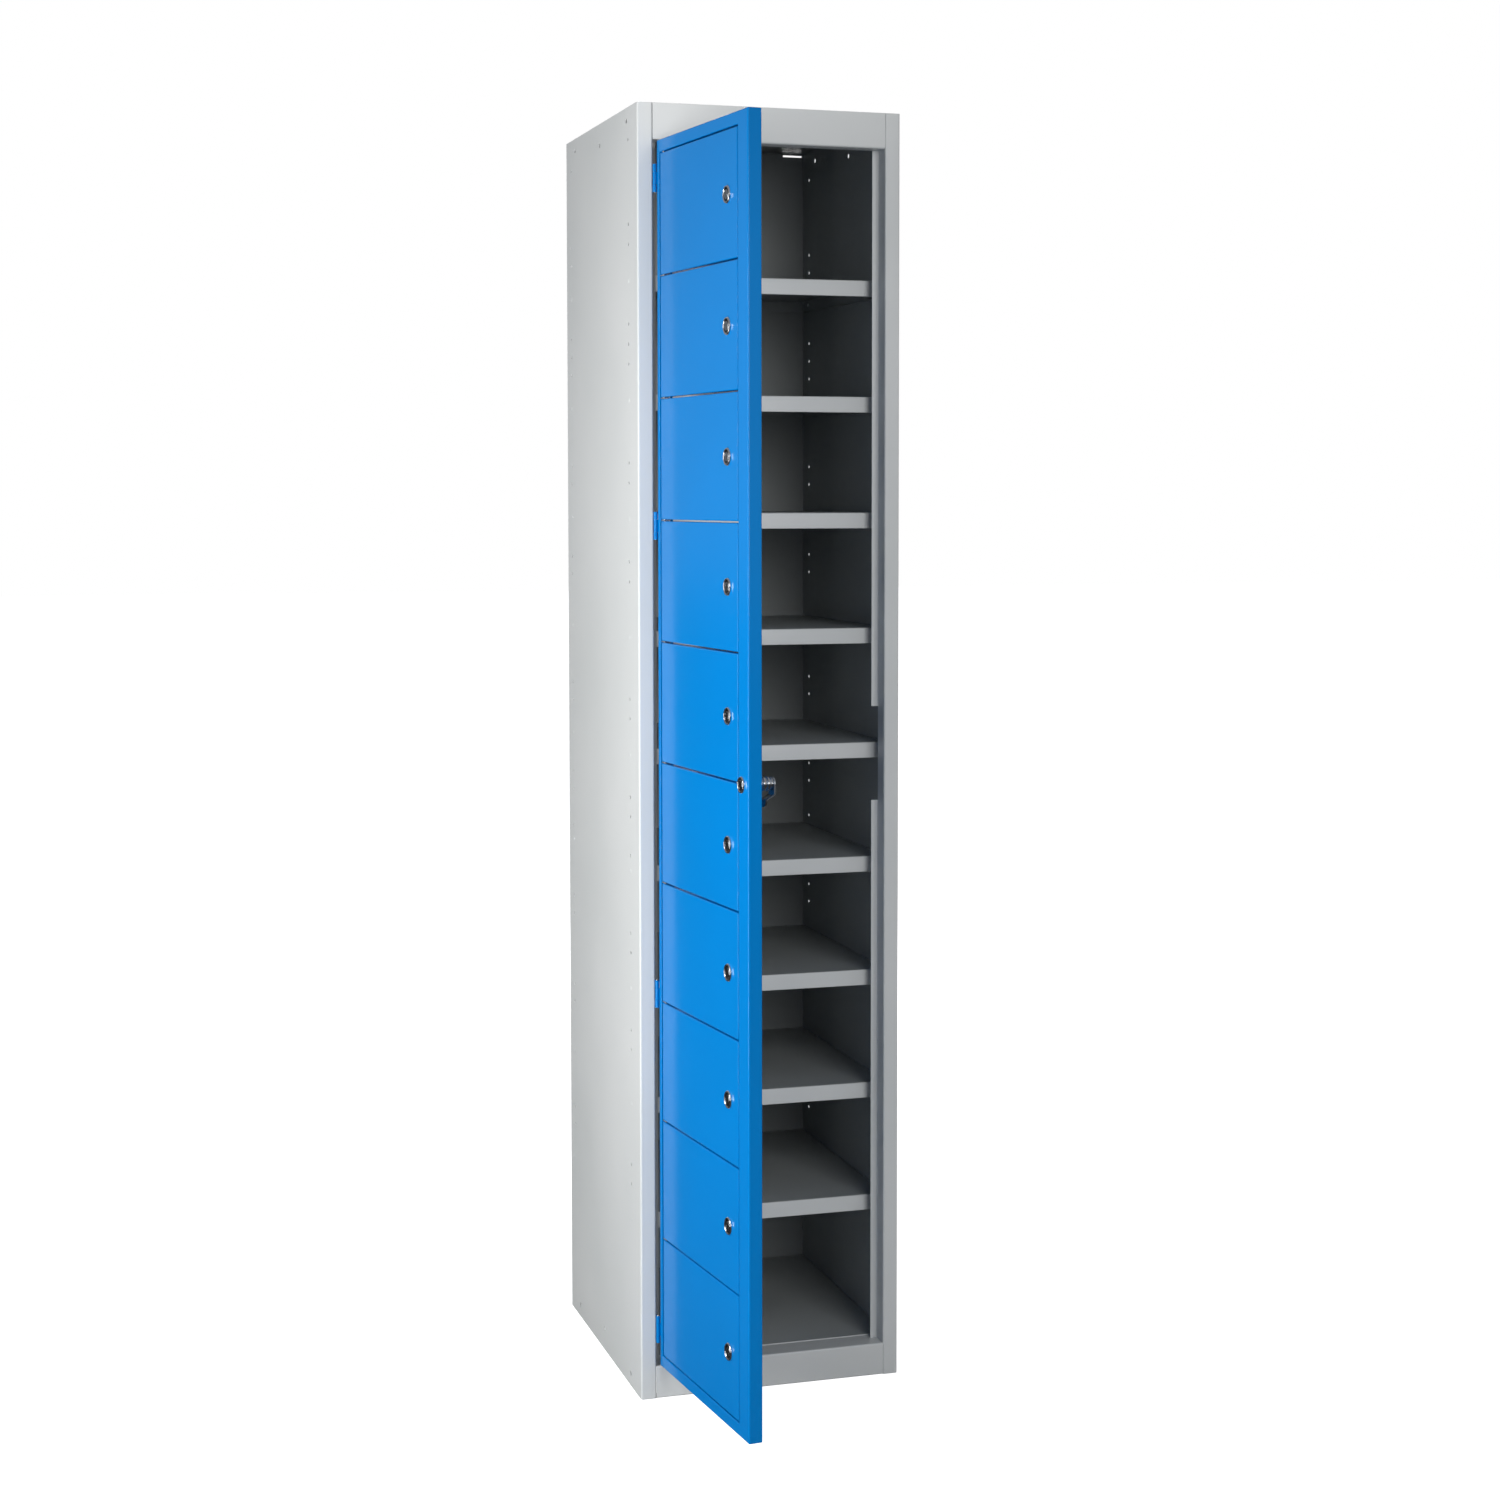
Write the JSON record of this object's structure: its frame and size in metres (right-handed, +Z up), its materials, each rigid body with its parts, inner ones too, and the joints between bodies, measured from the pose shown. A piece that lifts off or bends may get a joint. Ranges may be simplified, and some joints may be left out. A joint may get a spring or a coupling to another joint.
{
  "type": "multi-compartment steel locker",
  "caption": "Tall steel locker with shelved compartments behind one hinged master door that carries a column of small key-locked doors.",
  "frame": {"origin": "on the floor at the centre of the carcass footprint, which is the middle of the four floor fixing holes", "axes": "+Z up, along the locker's height; the doors are on the -Y side; +X is to the right seen from the front"},
  "size_m": [0.3812, 0.7816, 1.8],
  "materials": {
    "grey_powder_coat": "light grey polyester powder coat, semi-gloss",
    "inner_grey_coat": "light grey polyester powder coat inside, semi-gloss",
    "blue_powder_coat": "bright blue polyester powder coat, gloss",
    "lock_chrome": "bright chrome plate",
    "cam_zinc": "zinc-plated steel",
    "bright_steel": "zinc-plated steel"
  },
  "bodies": {
    "carcass": {"side_panel_left": "grey_powder_coat", "side_panel_right": "grey_powder_coat", "back_panel": "inner_grey_coat", "top_panel": "grey_powder_coat", "header": "grey_powder_coat", "plinth": "grey_powder_coat", "floor_panel": "inner_grey_coat", "shelf_rivets": "bright_steel", "hinge_leaves_fixed": "blue_powder_coat", "hinge_pins": "bright_steel", "shelf_1": "inner_grey_coat", "shelf_2": "inner_grey_coat", "shelf_3": "inner_grey_coat", "shelf_4": "inner_grey_coat", "shelf_5": "inner_grey_coat", "shelf_6": "inner_grey_coat", "shelf_7": "inner_grey_coat", "shelf_8": "inner_grey_coat", "shelf_9": "inner_grey_coat"},
    "master_door": {"master_hinge_stile": "blue_powder_coat", "master_lock_stile": "blue_powder_coat", "master_top_rail": "blue_powder_coat", "master_bottom_rail": "blue_powder_coat", "hinge_leaves_moving": "blue_powder_coat", "pivot_plates": "bright_steel", "pivot_pins": "bright_steel", "master_lock_body": "lock_chrome"},
    "master_cam": {"master_lock_cam": "cam_zinc"},
    "small_door_1": {"small_door_1": "blue_powder_coat", "lock_body_1": "lock_chrome"},
    "small_door_2": {"small_door_2": "blue_powder_coat", "lock_body_2": "lock_chrome"},
    "small_door_3": {"small_door_3": "blue_powder_coat", "lock_body_3": "lock_chrome"},
    "small_door_4": {"small_door_4": "blue_powder_coat", "lock_body_4": "lock_chrome"},
    "small_door_5": {"small_door_5": "blue_powder_coat", "lock_body_5": "lock_chrome"},
    "small_door_6": {"small_door_6": "blue_powder_coat", "lock_body_6": "lock_chrome"},
    "small_door_7": {"small_door_7": "blue_powder_coat", "lock_body_7": "lock_chrome"},
    "small_door_8": {"small_door_8": "blue_powder_coat", "lock_body_8": "lock_chrome"},
    "small_door_9": {"small_door_9": "blue_powder_coat", "lock_body_9": "lock_chrome"},
    "small_door_10": {"small_door_10": "blue_powder_coat", "lock_body_10": "lock_chrome"},
    "small_cam_1": {"lock_cam_1": "cam_zinc"},
    "small_cam_2": {"lock_cam_2": "cam_zinc"},
    "small_cam_3": {"lock_cam_3": "cam_zinc"},
    "small_cam_4": {"lock_cam_4": "cam_zinc"},
    "small_cam_5": {"lock_cam_5": "cam_zinc"},
    "small_cam_6": {"lock_cam_6": "cam_zinc"},
    "small_cam_7": {"lock_cam_7": "cam_zinc"},
    "small_cam_8": {"lock_cam_8": "cam_zinc"},
    "small_cam_9": {"lock_cam_9": "cam_zinc"},
    "small_cam_10": {"lock_cam_10": "cam_zinc"}
  },
  "joints": [
    {"name": "master_door_swing", "type": "hinge", "parent": "carcass", "child": "master_door", "pos_m": [-0.1658, -0.227, 0.89825], "axis": [0, 0, -1], "range_deg": [-84.2, 25.8]},
    {"name": "master_lock_turn", "type": "hinge", "parent": "master_door", "child": "master_cam", "pos_m": [-0.1325, -0.53501, 0.89705], "axis": [-0.9949, -0.1011, 0], "range_deg": [0, 90]},
    {"name": "small_door_1_swing", "type": "hinge", "parent": "master_door", "child": "small_door_1", "pos_m": [-0.15771, -0.24628, 1.64725], "axis": [0, 0, -1], "range_deg": [0, 90]},
    {"name": "small_door_2_swing", "type": "hinge", "parent": "master_door", "child": "small_door_2", "pos_m": [-0.15771, -0.24628, 1.48075], "axis": [0, 0, -1], "range_deg": [0, 90]},
    {"name": "small_door_3_swing", "type": "hinge", "parent": "master_door", "child": "small_door_3", "pos_m": [-0.15771, -0.24628, 1.31425], "axis": [0, 0, -1], "range_deg": [0, 90]},
    {"name": "small_door_4_swing", "type": "hinge", "parent": "master_door", "child": "small_door_4", "pos_m": [-0.15771, -0.24628, 1.14775], "axis": [0, 0, -1], "range_deg": [0, 90]},
    {"name": "small_door_5_swing", "type": "hinge", "parent": "master_door", "child": "small_door_5", "pos_m": [-0.15771, -0.24628, 0.98125], "axis": [0, 0, -1], "range_deg": [0, 90]},
    {"name": "small_door_6_swing", "type": "hinge", "parent": "master_door", "child": "small_door_6", "pos_m": [-0.15771, -0.24628, 0.81475], "axis": [0, 0, -1], "range_deg": [0, 90]},
    {"name": "small_door_7_swing", "type": "hinge", "parent": "master_door", "child": "small_door_7", "pos_m": [-0.15771, -0.24628, 0.64825], "axis": [0, 0, -1], "range_deg": [0, 90]},
    {"name": "small_door_8_swing", "type": "hinge", "parent": "master_door", "child": "small_door_8", "pos_m": [-0.15771, -0.24628, 0.48175], "axis": [0, 0, -1], "range_deg": [0, 90]},
    {"name": "small_door_9_swing", "type": "hinge", "parent": "master_door", "child": "small_door_9", "pos_m": [-0.15771, -0.24628, 0.31525], "axis": [0, 0, -1], "range_deg": [0, 90]},
    {"name": "small_door_10_swing", "type": "hinge", "parent": "master_door", "child": "small_door_10", "pos_m": [-0.15771, -0.24628, 0.14875], "axis": [0, 0, -1], "range_deg": [0, 90]},
    {"name": "lock_1_turn", "type": "hinge", "parent": "small_door_1", "child": "small_cam_1", "pos_m": [-0.13719, -0.48885, 1.64725], "axis": [-0.9949, -0.1011, 0], "range_deg": [0, 90]},
    {"name": "lock_2_turn", "type": "hinge", "parent": "small_door_2", "child": "small_cam_2", "pos_m": [-0.13719, -0.48885, 1.48075], "axis": [-0.9949, -0.1011, 0], "range_deg": [0, 90]},
    {"name": "lock_3_turn", "type": "hinge", "parent": "small_door_3", "child": "small_cam_3", "pos_m": [-0.13719, -0.48885, 1.31425], "axis": [-0.9949, -0.1011, 0], "range_deg": [0, 90]},
    {"name": "lock_4_turn", "type": "hinge", "parent": "small_door_4", "child": "small_cam_4", "pos_m": [-0.13719, -0.48885, 1.14775], "axis": [-0.9949, -0.1011, 0], "range_deg": [0, 90]},
    {"name": "lock_5_turn", "type": "hinge", "parent": "small_door_5", "child": "small_cam_5", "pos_m": [-0.13719, -0.48885, 0.98125], "axis": [-0.9949, -0.1011, 0], "range_deg": [0, 90]},
    {"name": "lock_6_turn", "type": "hinge", "parent": "small_door_6", "child": "small_cam_6", "pos_m": [-0.13719, -0.48885, 0.81475], "axis": [-0.9949, -0.1011, 0], "range_deg": [0, 90]},
    {"name": "lock_7_turn", "type": "hinge", "parent": "small_door_7", "child": "small_cam_7", "pos_m": [-0.13719, -0.48885, 0.64825], "axis": [-0.9949, -0.1011, 0], "range_deg": [0, 90]},
    {"name": "lock_8_turn", "type": "hinge", "parent": "small_door_8", "child": "small_cam_8", "pos_m": [-0.13719, -0.48885, 0.48175], "axis": [-0.9949, -0.1011, 0], "range_deg": [0, 90]},
    {"name": "lock_9_turn", "type": "hinge", "parent": "small_door_9", "child": "small_cam_9", "pos_m": [-0.13719, -0.48885, 0.31525], "axis": [-0.9949, -0.1011, 0], "range_deg": [0, 90]},
    {"name": "lock_10_turn", "type": "hinge", "parent": "small_door_10", "child": "small_cam_10", "pos_m": [-0.13719, -0.48885, 0.14875], "axis": [-0.9949, -0.1011, 0], "range_deg": [0, 90]}
  ]
}
